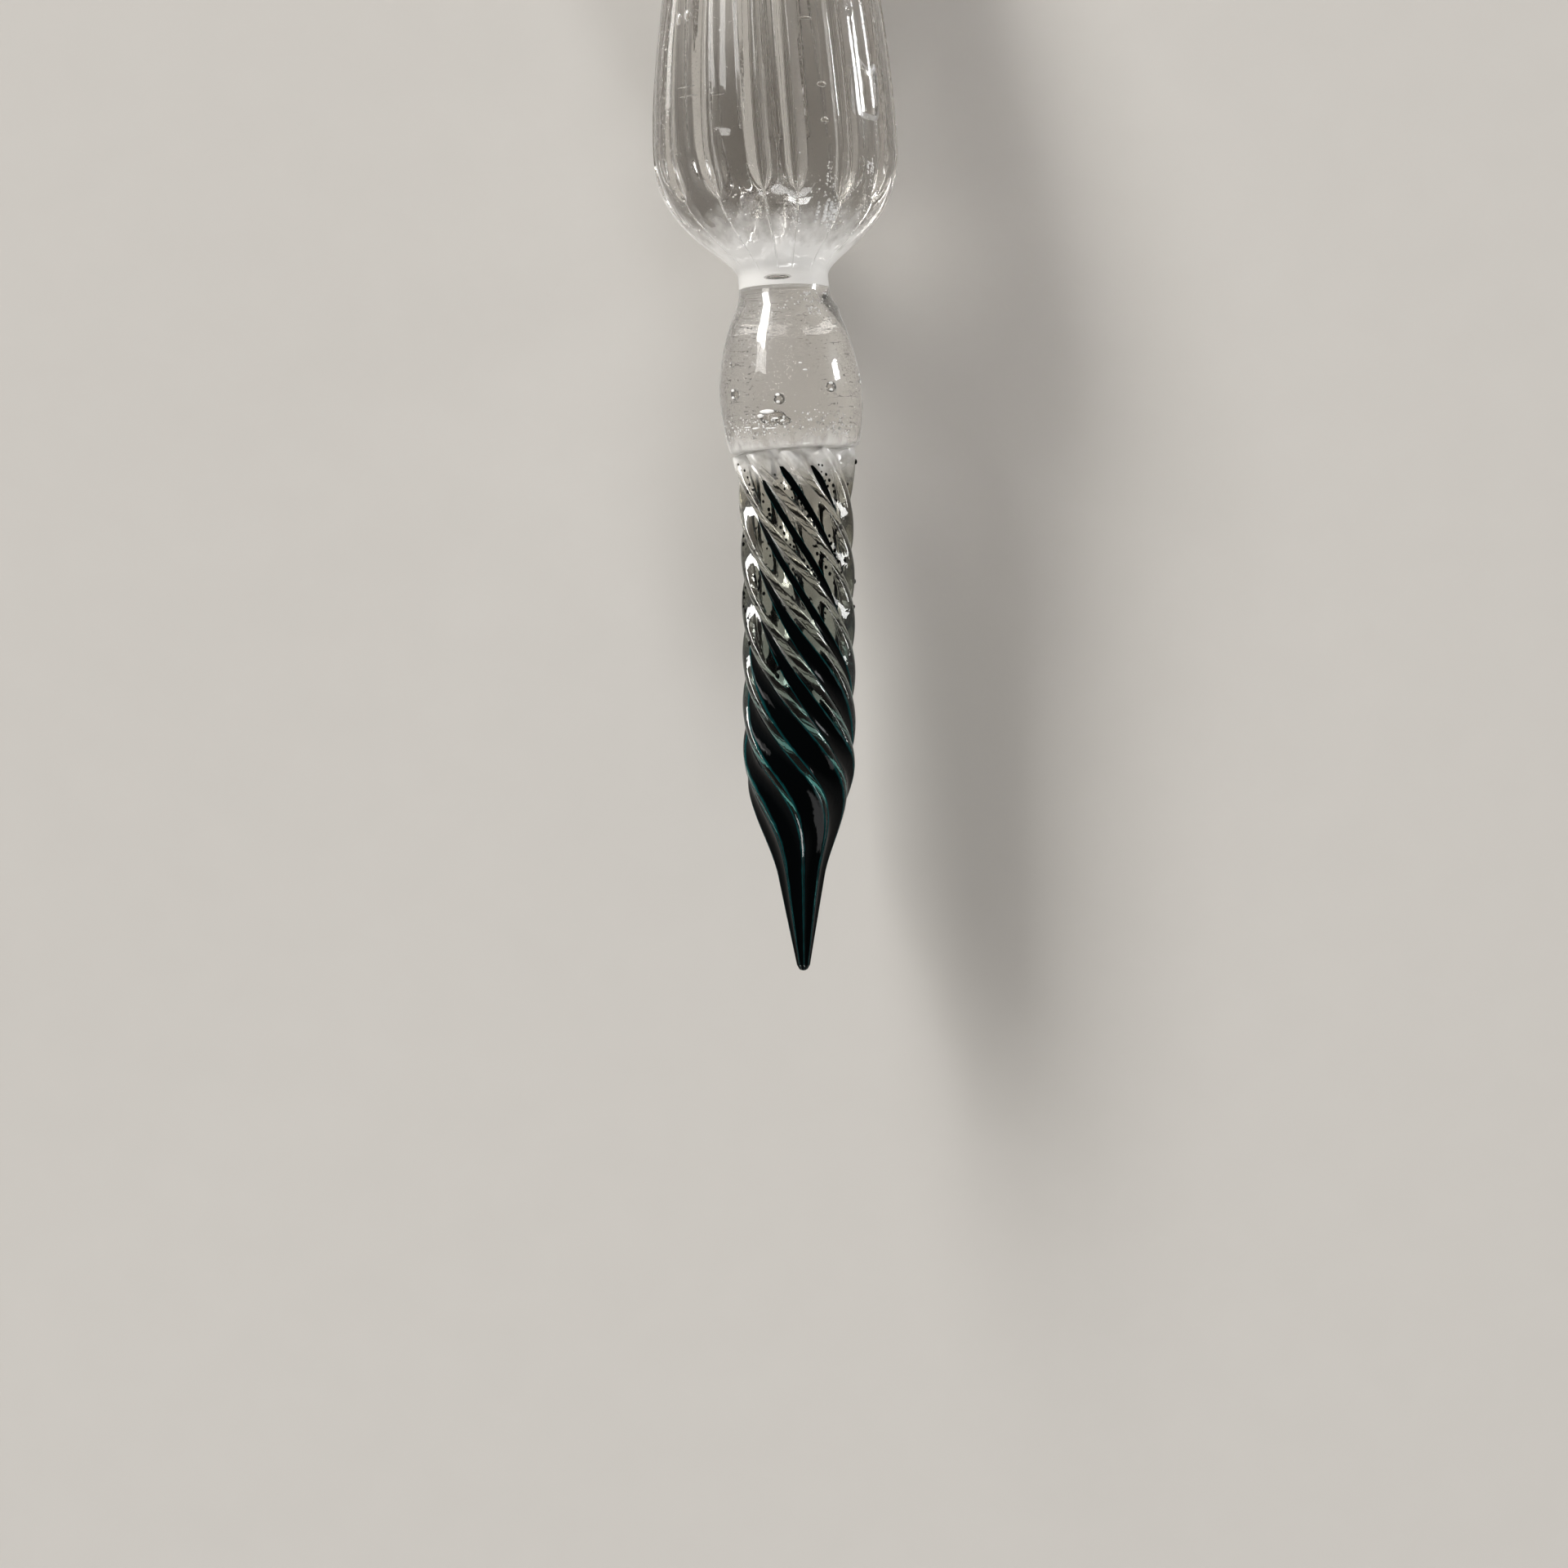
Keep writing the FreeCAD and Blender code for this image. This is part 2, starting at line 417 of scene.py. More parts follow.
# The stain of ink in the nib's glass, from the point to the root. Its olive-brown higher up is partly
# painted shade, for the dark surroundings the glass shows.
STAIN_AND_SHADE_BANDS = (
    (0.0, (0.12, 0.60, 0.60)),
    (0.2, (0.10, 0.36, 0.34)),
    (0.45, (0.26, 0.30, 0.26)),
    (1.0, (0.58, 0.55, 0.48)),
)

# How much glass brightens where it is seen edge-on
EDGE_GLOW = 0.6

# How high the bumps of glass and of ink stand, in metres
GLASS_BUMP = 0.00006
INK_BUMP = 0.00005

# How far the painted glow at the seams, and the stain and painted shade in the nib, wander up and down, and
# the heights they span
WISP_LENGTH = 3.0
NIB_WISP_LENGTH = 4.0
NIB_HAZE = (33.4, 35.6)
NIB_THINNEST = 0.45
STAIN_AND_SHADE_WANDER = 8.0
STAIN_AND_SHADE_SPAN = (12.0, 38.0)

# The flat bubble in the neck, just above the seam, how flat the clear glass round it is, and its reach
NECK_BUBBLE = (-0.4, -2.9, 44.86)
NECK_FLATNESS = (1, 1, 5)
NECK_CLEARING = (0.75, 0.95)


def glass_shader(n, colour, clearness, roughness, bump, coat=0.1):
    """Clear glass. The coat is the wear of its skin, which gives highlights a soft and grainy edge."""
    return n.add(
        "ShaderNodeBsdfPrincipled",
        {
            "Base Color": colour,
            "Transmission Weight": clearness,
            "IOR": 1.5,
            "Roughness": roughness,
            "Normal": bump.outputs[0],
            "Coat Weight": coat,
            "Coat Roughness": 0.28,
            "Coat Normal": bump.outputs[0],
            "Sheen Weight": EDGE_GLOW,
            "Sheen Roughness": 0.25,
        },
    )


def fused_material():
    """The face where two pieces are fused. Glass meets glass there, so nothing shows."""
    n = Nodes("fused_glass")
    return n.finish(n.add("ShaderNodeBsdfPrincipled", {"Base Color": SHADED_CLEAR, "Alpha": 0.0}))


def seed_and_glint_material():
    """White specks: seed bubbles too small to see into and froth, and white beads that are painted
    highlights: the sparkle over larger bubbles, beside the knop's highlight and on the grip's shoulder.
    """
    n = Nodes("white_seed_and_glint")
    tone = n.steps(n.noise(n.pen((1, 1, 1)), 3.0), 0.3, 0.7, 0.7, 0.95)
    shade = n.add("ShaderNodeCombineColor", {0: tone, 1: tone, 2: tone})
    return n.finish(n.add("ShaderNodeBsdfPrincipled", {"Base Color": shade.outputs[0], "Roughness": 0.4}))


def glass_material(name, streaks, speckle, coat=0.1, haze=None, thinnest=0.25):
    """Glass with a warm grey tint that is painted shade, with drawn lines along the pen, a faint
    orange-peel, pits and small smudges.

    haze is the heights between which the glass turns from clear to white, a painted highlight for the glow
    at a fused seam.
    thinnest is how much light still passes where it is whitest.
    """
    n = Nodes(name)
    drawn = n.noise(n.pen((1.6, 1.6, 0.07)), 2.2, 3.0)
    peel = n.noise(n.pen((1, 1, 1)), 1.1, 2.0)
    pits = n.steps(n.noise(n.pen((1, 1, 1)), 9.0, 1.0), 0.61, 0.68)
    height = n.maths("ADD", n.maths("MULTIPLY", drawn, streaks), n.maths("MULTIPLY", peel, 0.6))
    height = n.maths("ADD", height, n.maths("MULTIPLY", pits, speckle))
    bump = n.add("ShaderNodeBump", {"Height": height, "Strength": 0.35, "Distance": GLASS_BUMP})
    smudge = n.steps(n.noise(n.pen((0.5, 0.5, 0.3)), 1.0, 4.0), 0.55, 0.8, 0.0, 0.03)
    if haze is None:
        return n.finish(glass_shader(n, SHADED_CLEAR, 1.0, smudge, bump, coat))
    along = n.add("ShaderNodeSeparateXYZ", {0: n.pen((1, 1, 1))}).outputs["Z"]
    wisps = n.noise(n.pen((0.9, 0.9, 0.3)), 1.3, 4.0)
    ragged = n.maths("ADD", along, n.maths("MULTIPLY", wisps, WISP_LENGTH))
    painted_glow = n.steps(ragged, haze[0] + WISP_LENGTH / 2, haze[1] + WISP_LENGTH / 2)
    bubble = tuple(place * flat for place, flat in zip(NECK_BUBBLE, NECK_FLATNESS))
    away = n.add("ShaderNodeVectorMath", {0: n.pen(NECK_FLATNESS), 1: bubble}, operation="DISTANCE")
    painted_glow = n.maths("MULTIPLY", painted_glow, n.steps(away.outputs["Value"], *NECK_CLEARING))
    # Where the seam glows, the glass is painted white and lets less light through: a painted highlight
    clearness = n.steps(painted_glow, 0.0, 1.0, 1.0, thinnest)
    colour = n.mix(painted_glow, SHADED_CLEAR, GLOW_WHITE)
    return n.finish(glass_shader(n, colour, clearness, smudge, bump, coat))


def nib_material():
    """Glass stained by ink, blue-green towards the point and olive-brown higher up, where the olive-brown is
    partly painted shade. By the root it turns white, a painted highlight.
    """
    n = Nodes("nib_glass")
    height = n.add("ShaderNodeSeparateXYZ", {0: n.pen((1, 1, 1))}).outputs["Z"]
    patches = n.noise(n.pen((0.6, 0.6, 0.25)), 1.4, 3.0)
    uneven = n.maths("ADD", height, n.maths("MULTIPLY", patches, STAIN_AND_SHADE_WANDER))
    stain_and_shade = n.add("ShaderNodeValToRGB", {"Fac": n.steps(uneven, *STAIN_AND_SHADE_SPAN)})
    ramp = stain_and_shade.color_ramp
    ramp.elements[1].position = STAIN_AND_SHADE_BANDS[-1][0]
    for place, _ in STAIN_AND_SHADE_BANDS[1:-1]:
        ramp.elements.new(place)
    for element, (_, colour) in zip(ramp.elements, STAIN_AND_SHADE_BANDS):
        element.color = (*colour, 1)
    peel = n.noise(n.pen((1, 1, 0.3)), 2.0, 2.0)
    bump = n.add("ShaderNodeBump", {"Height": peel, "Strength": 0.4, "Distance": GLASS_BUMP})
    smudge = n.steps(patches, 0.5, 0.8, 0.0, 0.04)
    # The petals by the root are painted white: a painted highlight for their glow
    ragged = n.maths("ADD", height, n.maths("MULTIPLY", patches, NIB_WISP_LENGTH))
    painted_glow = n.steps(ragged, *NIB_HAZE)
    clearness = n.steps(painted_glow, 0.0, 1.0, 1.0, NIB_THINNEST)
    colour = n.mix(painted_glow, stain_and_shade.outputs[0], NIB_GLOW_WHITE)
    return n.finish(glass_shader(n, colour, clearness, smudge, bump))


def ink_material():
    """Wet ink: nearly black where it is thick, blue-green where it thins out at its edges."""
    n = Nodes("wet_ink")
    thin = n.add("ShaderNodeAttribute", attribute_name="thin").outputs["Fac"]
    uneven = n.noise(n.pen((1, 1, 0.4)), 2.5, 3.0)
    edge = n.steps(n.maths("ADD", thin, n.maths("MULTIPLY", uneven, 0.5)), 0.85, 1.4)
    colour = n.mix(edge, THICK_INK, THIN_INK)
    bump = n.add("ShaderNodeBump", {"Height": uneven, "Strength": 0.3, "Distance": INK_BUMP})
    rough = n.steps(uneven, 0.3, 0.7, 0.03, 0.12)
    shader = n.add(
        "ShaderNodeBsdfPrincipled",
        {
            "Base Color": colour,
            "Roughness": rough,
            "IOR": 1.33,
            "Specular IOR Level": 0.09,
            "Normal": bump.outputs[0],
        },
    )
    return n.finish(shader)


fused_glass = fused_material()
white_seed_and_glint = seed_and_glint_material()
# The glasses' warm grey tint is painted shade, for the dark surroundings the glass shows
clear_glass = glass_material("clear_glass", streaks=0.4, speckle=0.0)
seeded_glass = glass_material(
    "seeded_glass", streaks=0.08, speckle=1.2, coat=0.45, haze=(35.3, 33.6), thinnest=0.5
)
grip_material = glass_material("grip_glass", streaks=0.04, speckle=0.15, coat=0.15, haze=(49.2, 46.7))
ink = ink_material()


# Nib


# How far the nib's side ends below the seam, and how much higher its petals are on the ridges
PETAL_DROP = 0.3
PETAL_RISE = 0.16

# The knop's foot: how much higher it is on the right, where that is, its place above the seam and its edge
FOOT_TILT = 0.16
FOOT_TILT_TURN = 10
FOOT_LIFT = 0.08
FOOT_ROUND = 0.2
FOOT_LENGTH = 0.7


def foot_tilt(turn):
    """The knop's foot and the petals under it sit a little askew."""
    return FOOT_TILT * np.cos(np.radians(turn - FOOT_TILT_TURN))


def petal_height(turn):
    """Where the nib's side ends under the knop: high on the ridges, low in the grooves."""
    petals = PETAL_RISE * np.cos(np.radians(GROOVES * (turn - nib_turn(NIB_TOP))))
    return NIB_TOP - PETAL_DROP + petals + foot_tilt(turn)


def nib_columns():
    """Turns from the first ridge: close together on the ridges and their edges, wider in the grooves."""
    half = [0.5 * RIDGE_HALF, 0.85 * RIDGE_HALF, RIDGE_HALF]
    half += [RIDGE_HALF + GROOVE_HALF * share for share in (0.05, 0.12, 0.22, 0.36, 0.55, 0.78)]
    period = np.array([0.0] + half + [NIB_PITCH / 2] + [NIB_PITCH - turn for turn in half[::-1]])
    return np.concatenate([period + NIB_PITCH * i for i in range(GROOVES)])


def make_nib():
    columns = nib_columns()
    last = NIB_TOP - 1.0
    heights = np.concatenate([[0.006, 0.03, 0.08, 0.15, 0.24, 0.36], np.arange(0.5, last, 0.17), [last]])
    rings = []
    for z in heights:
        turns = nib_turn(z) + columns
        rings.append(polar(nib_surface(turns, z) + wander(turns, z, *NIB_WAVES) * min(1, z / 6), turns, z))
    # The ridges run on to the seam, round over as petals and close on the fused middle
    for share in np.linspace(0.2, 1, 6):
        z = last + (petal_height(nib_turn(NIB_TOP) + columns) - last) * share
        turns = nib_turn(z) + columns
        rings.append(polar(nib_surface(turns, z) + wander(turns, z, *NIB_WAVES) - 0.1 * share**4, turns, z))
    rim = rings[-1]
    turns = nib_turn(NIB_TOP) + columns
    inner = polar(SEAM_RADIUS, turns, NIB_TOP + FUSED)
    for share in (0.12, 0.3, 0.55, 0.8, 1.0):
        ring = rim + (inner - rim) * share
        ring[:, 2] = rim[:, 2] + (inner[:, 2] - rim[:, 2]) * math.sin(share * math.pi / 2)
        rings.append(ring)
    shape = Shape()
    shape.add_rings(capped(np.array(rings), low=False), fused_high=CAP_ROWS)
    shape.make("nib_glass", nib_material(), "inked_glass", "nib")


# Knop

# Bubbles as (turn from the side that faces up, height, radius round the axis, half-axes).
# The half-axes go round, out and along.
KNOP_BUBBLES = [
    (-57, 37.5, 3.95, (0.37, 0.37, 0.37)),
    (-11, 37.0, 4.0, (0.36, 0.36, 0.36)),
    (37, 37.7, 3.95, (0.38, 0.36, 0.34)),
    (84, 38.4, 3.9, (0.34, 0.34, 0.38)),
    (-19, 35.9, 3.7, (0.85, 0.3, 0.48)),
    (-9, 35.65, 3.8, (0.5, 0.25, 0.3)),
    (-62, 39.4, 3.8, (0.17, 0.17, 0.17)),
    (150, 37.2, 3.9, (0.35, 0.35, 0.35)),
    (-135, 38.0, 3.8, (0.3, 0.3, 0.36)),
    (112, 36.1, 3.9, (0.4, 0.26, 0.28)),
]

# Bubbles under this size are round enough to have two glints, painted as white beads
LARGE_BUBBLE = 0.4
GLINT_PLACE = 0.62
GLINT_INWARDS = 0.92

# White beads on the skin, most of them over the large flat bubble: froth, and over that bubble a bright cap
# that is a painted highlight. Each is a turn, height and half-axes.
KNOP_FROTH_AND_GLINTS = [
    (-21, 36.2, (0.5, 0.06, 0.13)),
    (-27, 35.95, (0.2, 0.05, 0.12)),
    (-14.5, 35.75, (0.22, 0.05, 0.06)),
    (-8.5, 35.6, (0.14, 0.05, 0.07)),
    (-41, 35.3, (0.3, 0.03, 0.035)),
    (-33, 35.2, (0.25, 0.03, 0.05)),
    (-19, 35.15, (0.4, 0.03, 0.035)),
    (8.5, 39.2, (0.12, 0.05, 0.05)),
    (12, 38.75, (0.15, 0.05, 0.06)),
]

# The smallest and largest radius of the specks
FINE_SPECKS = (0.02, 0.045)
ROW_SEEDS = (0.045, 0.07)
CLUSTER_SEEDS = (0.04, 0.075)


def seeds(shape, count, turns, heights, radius_at, inset, sizes):
    """Scatters seed bubbles under the skin."""
    for _ in range(count):
        turn = chance.uniform(*turns)
        z = chance.uniform(*heights)
        size = chance.uniform(*sizes)
        radius = float(radius_at(np.array(z))) - chance.uniform(*inset) - size
        half_axes = (size, size, size * chance.uniform(1.0, 1.5))
        shape.add_bubble((radius, UP_SIDE + turn, z), half_axes, SEED_AND_GLINT_FINISH)


def glints(shape, turn, z, size):
    """White beads on the skin as painted highlights, the sparkle over a bubble, one at its top and one at
    its bottom.

    A front bubble's beads are set a little towards the middle, where the glass makes the bubble seem to be.
    """
    bead_turn = turn * GLINT_INWARDS if abs(turn) < 90 else turn
    for side, share in ((1, 0.4), (-1, 0.34)):
        height = z + side * GLINT_PLACE * size[2]
        radius = float(knop_outer_radius(np.array(height))) - 0.01
        half_axes = (share * size[0], 0.04, 0.24 * size[2])
        shape.add_bubble((radius, UP_SIDE + bead_turn - 1, height), half_axes, SEED_AND_GLINT_FINISH, void=False)


def specks(shape, rings, count, turns, heights, sizes, gather=0.0):
    """Scatters white specks on the skin that the rings make.

    turns and heights are the patch they lie in, and gather draws them to its middle.
    """
    points = np.asarray(rings).reshape(-1, 3)
    turn = np.degrees(np.arctan2(points[:, 1], points[:, 0]))
    away = (turn - UP_SIDE + 180) % 360 - 180
    chosen = (turns[0] < away) & (away < turns[1])
    chosen &= (heights[0] < points[:, 2]) & (points[:, 2] < heights[1])
    off_turn = (away - sum(turns) / 2) / (turns[1] - turns[0])
    off_height = (points[:, 2] - sum(heights) / 2) / (heights[1] - heights[0])
    weight = np.exp(-gather * (off_turn**2 + off_height**2))[chosen]
    for i in chance.choices(np.flatnonzero(chosen).tolist(), weights=weight.tolist(), k=count):
        size = chance.uniform(*sizes)
        radius = math.hypot(points[i, 0], points[i, 1]) - 0.4 * size
        place = (radius, turn[i] + chance.uniform(-0.6, 0.6), points[i, 2] + chance.uniform(-0.08, 0.08))
        shape.add_bubble(place, (size, 0.7 * size, size), SEED_AND_GLINT_FINISH, void=False)


# A small lump of glass on the right, just under the neck
LUMP_RISE = 0.16
LUMP_TURN = 355
LUMP_HALF_TURN = 22
LUMP_HEIGHT = 43.1
LUMP_HALF_HEIGHT = 0.45


def make_knop():
    turns = np.arange(0, 360, 2.5)
    foot = NIB_TOP + foot_tilt(turns) + FOOT_LIFT
    foot_radius = knop_outer_radius(foot)
    rings = []
    for share in (0.0, 0.3, 0.6, 0.85):
        radius = SEAM_RADIUS + (foot_radius - SEAM_RADIUS) * share
        rings.append(polar(radius, turns, NIB_TOP - FUSED + (foot - NIB_TOP) * share))
    # The foot's edge is rounded
    for angle in np.radians(np.linspace(-70, 0, 6)):
        z = foot + FOOT_ROUND * (1 + math.sin(angle))
        rings.append(polar(knop_outer_radius(z) - FOOT_ROUND * (1 - math.cos(angle)), turns, z))
    foot_top = NIB_TOP + FOOT_LENGTH
    last_foot = foot + FOOT_ROUND
    for share in (0.4, 1.0):
        z = last_foot + (foot_top - last_foot) * share
        rings.append(polar(knop_outer_radius(z), turns, z))
    for z in np.arange(foot_top + 0.2, KNOP_TOP - 0.1, 0.2):
        quiet = ease((z - foot_top) / 1.5) * ease((KNOP_TOP - z) / 1.5)
        beside = ((turns - LUMP_TURN + 180) % 360 - 180) / LUMP_HALF_TURN
        lump = LUMP_RISE * np.exp(-(beside**2) - ((z - LUMP_HEIGHT) / LUMP_HALF_HEIGHT) ** 2)
        rings.append(polar(knop_outer_radius(z) + wander(turns, z, *KNOP_WAVES) * quiet + lump, turns, z))
    rings.append(polar(NECK_RADIUS - FUSED, turns, KNOP_TOP + FUSED))
    shape = Shape()
    shape.add_rings(capped(np.array(rings)), fused_low=CAP_ROWS, fused_high=CAP_ROWS)
    for turn, z, radius, size in KNOP_BUBBLES:
        shape.add_bubble((radius, UP_SIDE + turn, z), size)
        if max(size) < LARGE_BUBBLE:
            glints(shape, turn, z, size)
    for turn, z, size in KNOP_FROTH_AND_GLINTS:
        radius = float(knop_outer_radius(np.array(z))) - 0.02
        shape.add_bubble((radius, UP_SIDE + turn, z), size, SEED_AND_GLINT_FINISH, void=False)
    # A row of seeds climbs to the right under the neck, with clusters at its end
    for i in range(16):
        low, high = 42.55 + 0.075 * i, 42.75 + 0.075 * i
        specks(shape, rings, 1, (-16 + 3.0 * i, -12 + 3.0 * i), (low - 0.15, high + 0.15), ROW_SEEDS)
    specks(shape, rings, 40, (22, 66), (43.2, 44.0), CLUSTER_SEEDS)
    specks(shape, rings, 20, (24, 40), (42.3, 43.0), CLUSTER_SEEDS)
    # Another row crosses near the foot
    for i in range(14):
        specks(shape, rings, 1, (2 + 3.4 * i, 6 + 3.4 * i), (36.0 - 0.03 * i, 36.45 - 0.03 * i), ROW_SEEDS)
    # White specks beside the highlight, a painted highlight for its grainy edge; froth at the foot, most of
    # it on the left, whose white is partly painted highlight; and fine white specks all round
    specks(shape, rings, 70, (-40, -14), (39.2, 43.6), FINE_SPECKS)
    specks(shape, rings, 90, (-80, 60), (34.8, 35.9), (0.035, 0.09))
    specks(shape, rings, 60, (-70, -8), (34.6, 36.2), (0.02, 0.06), gather=8.0)
    specks(shape, rings, 60, (-180, 180), (35.0, 43.6), FINE_SPECKS)
    seeds(shape, 60, (-100, 45), (34.5, 35.7), knop_outer_radius, (0.1, 0.3), (0.03, 0.09))
    shape.make("knop_glass", seeded_glass, "clear_glass", "knop")


# Grip

FLUTE_PITCH = 360.0 / FLUTES
FLUTE_HALF = math.degrees(FLUTE_WIDTH / 2 / GRIP_RADIUS)

# Each flute wanders a little from its even place. The two that face up lie closer together.
flute_shift = np.array([chance.uniform(-1.6, 1.6) for _ in range(FLUTES)])
flute_shift[0] = -3.2
flute_shift[-1] = 3.6
flute_width = np.array([chance.uniform(0.85, 1.15) for _ in range(FLUTES)])
flute_foot = np.array([chance.uniform(-0.7, 0.7) for _ in range(FLUTES)])
land_foot = np.array([chance.uniform(-1.2, 1.6) for _ in range(FLUTES)])
FLUTE_COLUMNS = np.array((-1, -0.8, -0.5, -0.2, 0.2, 0.5, 0.8))
LAND_COLUMNS = np.array((0, 0.04, 0.1, 0.18, 0.3, 0.5, 0.7, 0.82, 0.9, 0.96))
CREASE_WIDTH = 0.16
CREASE_DEPTH = 0.17
FOOT_ROUNDING = 1.7
LAND_RISE_LENGTH = 3.0
PANEL_START = 8.2
PANEL_ROUNDING = 1.3
PANEL_DEPTH = 0.08
PANEL_EDGE = 0.86
LIP_HEIGHT = 0.1
LIP_PLACE = 0.88
LIP_WIDTH = 0.06


def grip_ring(z):
    """Turns and radii round the grip. Every flute keeps its own columns, so that its edges stay crisp."""
    radius = float(grip_outer_radius(np.array(z)))
    fade = float(1 - ease((z - KNOP_TOP - FADE_START) / FADE_LENGTH))
    place = UP_SIDE + FLUTE_TURN - 360.0 * (z - GRIP_BELLY) / FLUTE_LEAD
    index = np.arange(FLUTES)
    middle = place + index * FLUTE_PITCH + flute_shift
    up = z - KNOP_TOP - FLUTE_FOOT - flute_foot
    rounding = np.sqrt(1 - (1 - np.clip(up / FOOT_ROUNDING, 0, 1)) ** 2)
    half = FLUTE_HALF * flute_width * np.maximum(rounding, CREASE_WIDTH)
    strength = rounding * fade
    edge_drop = LAND_CROWN * ease(up / LAND_RISE_LENGTH + 0.4) * fade
    # Below its foot, each flute runs on to the neck as a fine crease
    crease = CREASE_DEPTH * ease((z - KNOP_TOP - 0.8) / 2.0) * (1 - rounding) * fade
    turns, radii = [], []
    for i in range(FLUTES):
        after = (i + 1) % FLUTES
        next_middle = middle[after] + (360 if after == 0 else 0)
        hollow = (FLUTE_DEPTH - LAND_CROWN) * strength[i] + crease[i]
        turns.append(middle[i] + half[i] * FLUTE_COLUMNS)
        radii.append(radius - edge_drop[i] - hollow * (1 - FLUTE_COLUMNS**2))
        start, stop = middle[i] + half[i], next_middle - half[after]
        across = 2 * LAND_COLUMNS - 1
        drop = edge_drop[i] + (edge_drop[after] - edge_drop[i]) * LAND_COLUMNS
        # The land's middle is a sunk panel with a U-shaped end, and a lip stands along each flute
        end = z - KNOP_TOP - PANEL_START - land_foot[i]
        end -= PANEL_ROUNDING * (1 - np.sqrt(1 - across**2 * 0.999))
        sunk = PANEL_DEPTH * ease(end / 0.5) * ease((PANEL_EDGE - np.abs(across)) / 0.2) * fade
        lip = LIP_HEIGHT * np.exp(-(((np.abs(across) - LIP_PLACE) / LIP_WIDTH) ** 2))
        lip *= min(strength[i], strength[after])
        turns.append(start + (stop - start) * LAND_COLUMNS)
        radii.append(radius - drop * across**2 - sunk + lip)
    return np.concatenate(turns), np.concatenate(radii)


def add_pocket(shape, turn, z, half_turn, half_height, outer, inner):
    """A flat air pocket near the skin: a square with soft corners, a notched top and a straight foot."""
    round_it = np.radians(np.arange(0, 360, 7.5))
    x = np.sign(np.cos(round_it)) * np.abs(np.cos(round_it)) ** 0.5
    y = np.sign(np.sin(round_it)) * np.abs(np.sin(round_it)) ** 0.5
    notch = 0.42 * np.exp(-(((x - 0.1) / 0.2) ** 2)) - 0.12 * np.cos(9 * x)
    y = np.where(y > 0, y - notch * y, y)
    rings = []
    middle = (inner + outer) / 2
    lens = ((0.5, inner), (0.9, inner + 0.05), (1.0, middle), (0.9, outer - 0.05), (0.5, outer))
    for share, radius in lens:
        rings.append(polar(radius, UP_SIDE + turn + x * half_turn * share, z + y * half_height * share))
    shape.add_rings(np.array(rings), flip=True)
    # Its rim is a white band
    rim = []
    for share, lift in ((0.86, 0.05), (1.04, 0.08), (1.04, 0.2), (0.86, 0.26)):
        rim.append(polar(middle + lift, UP_SIDE + turn + x * half_turn * share, z + y * half_height * share))
    shape.add_tube(rim, SEED_AND_GLINT_FINISH)


# Voids in the grip, as in KNOP_BUBBLES
GRIP_BUBBLES = [
    (-53.0, 61.0, 7.25, (0.27, 0.2, 0.4)),
    (-46.5, 61.1, 7.25, (0.26, 0.2, 0.38)),
    (-46, 56.6, 7.4, (0.7, 0.05, 0.05)),
    (-45, 56.0, 7.4, (0.75, 0.05, 0.05)),
    (-28, 55.8, 7.4, (0.6, 0.05, 0.05)),
    (17, 60.3, 7.1, (0.45, 0.1, 0.12)),
    (24, 56.2, 7.3, (0.35, 0.12, 0.2)),
    (25, 54.0, 7.3, (0.3, 0.14, 0.2)),
    (-8, 44.86, 2.5, (0.75, 0.3, 0.13)),
]


def make_grip():
    low, high = KNOP_TOP - FUSED, GRIP_TOP + FUSED
    close = np.arange(KNOP_TOP + 0.1, 58.0, 0.16)
    wider = np.arange(58.1, 70.0, 0.4)
    widest = np.arange(70.4, high, 0.8)
    heights = np.concatenate([[low], close, wider, widest, [high]])
    rings = []
    for z in heights:
        quiet = ease((z - KNOP_TOP) / 2) * ease((GRIP_TOP - z) / 2)
        turns, radii = grip_ring(z)
        rings.append(polar(radii + wander(turns, z * 0.5, *GRIP_WAVES) * quiet, turns, z))
    shape = Shape()
    shape.add_rings(capped(np.array(rings)), fused_low=CAP_ROWS, fused_high=CAP_ROWS)
    for turn, z, radius, size in GRIP_BUBBLES:
        shape.add_bubble((radius, UP_SIDE + turn, z), size)
    add_pocket(shape, turn=55, z=56.1, half_turn=11, half_height=1.75, outer=7.35, inner=6.85)
    seeds(shape, 160, (-180, 180), (46.6, 52.0), grip_outer_radius, (0.2, 0.9), (0.025, 0.05))
    specks(shape, rings, 230, (6, 66), (47.4, 50.6), (0.025, 0.065))
    specks(shape, rings, 80, (-70, 6), (47.0, 49.5), (0.02, 0.06))
    # Two painted highlights on the right shoulder, each a patch of white specks, and a band of white specks
    # above the first
    specks(shape, rings, 120, (19, 38), (47.5, 49.6), (0.04, 0.13), gather=18.0)
    specks(shape, rings, 40, (44, 56), (50.4, 52.0), (0.04, 0.1), gather=18.0)
    specks(shape, rings, 40, (22, 29), (48.6, 52.0), (0.03, 0.07), gather=12.0)
    specks(shape, rings, 90, (-180, 180), (49.0, 64.0), (0.018, 0.035))
    seeds(shape, 60, (-180, 180), (52.0, 80.0), grip_outer_radius, (0.9, 2.0), (0.03, 0.06))
    shape.make("grip_glass", grip_material, "clear_glass", "grip")


# Stem and tail


def make_stem():
    turns = np.arange(0, 360, 5.0)
    rings = []
    for z in np.linspace(GRIP_TOP - FUSED, STEM_TOP + FUSED, 90):
        rings.append(polar(STEM_RADIUS + wander(turns, z * 0.2, *STEM_WAVES), turns, z))
    shape = Shape()
    shape.add_rings(capped(np.array(rings)), fused_low=CAP_ROWS, fused_high=CAP_ROWS)
    reach = (GRIP_TOP + 2, STEM_TOP - 2)
    seeds(shape, 30, (-180, 180), reach, lambda z: STEM_RADIUS, (0.3, 2.0), (0.02, 0.05))
    shape.make("stem_glass", clear_glass, "clear_glass", "stem")


